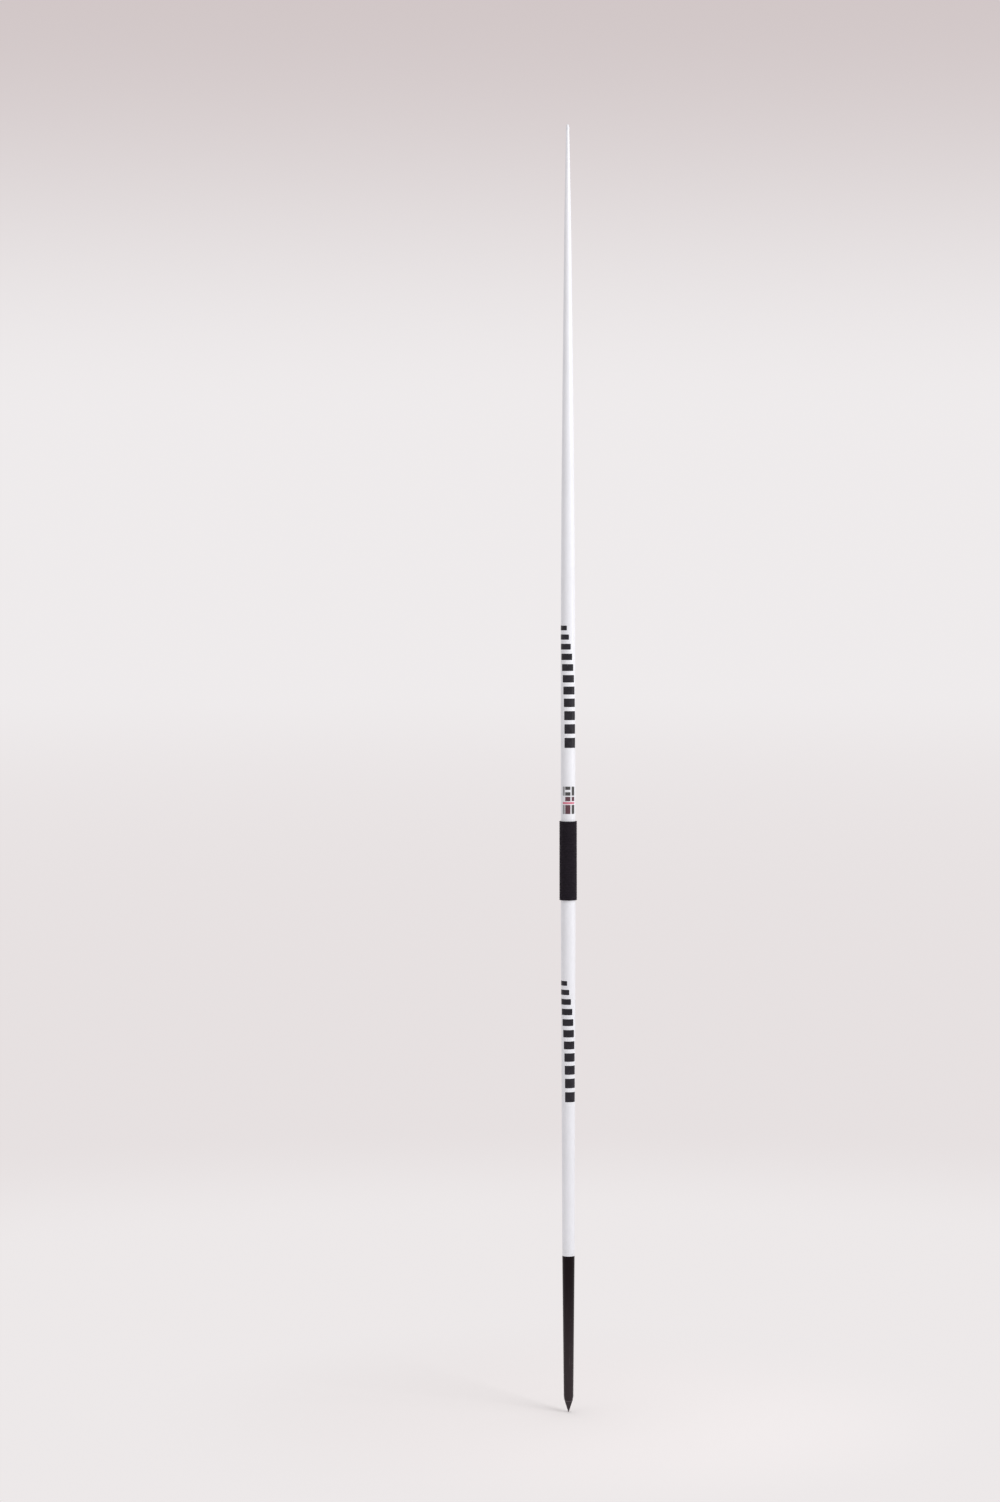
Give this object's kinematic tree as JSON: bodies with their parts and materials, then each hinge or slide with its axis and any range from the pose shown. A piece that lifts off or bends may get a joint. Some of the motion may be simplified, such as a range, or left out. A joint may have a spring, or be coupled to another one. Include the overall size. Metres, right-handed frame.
{
  "type": "javelin",
  "caption": "Throwing javelin standing on its point, with a black steel head, a tapered white alloy shaft, a black cord grip and plain printed stripes.",
  "frame": {"origin": "the tip of the point, at the centre of the bounding box's underside", "axes": "+Z along the shaft from the tip to the tail; -Y is the side that the small label faces"},
  "size_m": [0.0362, 0.0363, 2.61],
  "materials": {
    "hardened_steel": "satin",
    "black_steel": "satin",
    "brass": "satin",
    "white_alloy": "gloss",
    "bare_alloy": "satin",
    "white_plastic": "satin",
    "black_tape": "matte",
    "black_cord": "matte",
    "black_film": "gloss",
    "label_film": "gloss"
  },
  "bodies": {
    "root": {"point": "hardened_steel", "head_sleeve": "black_steel", "balance_weight": "brass", "front_tube": "white_alloy", "splice_sleeve": "bare_alloy", "rear_tube": "white_alloy", "tail_plug": "white_plastic", "grip_underlay": "black_tape", "front_grip_cord": "black_cord", "rear_grip_cord": "black_cord", "front_stripes": "black_film", "rear_stripes": "black_film", "class_label": "label_film"}
  },
  "joints": []
}
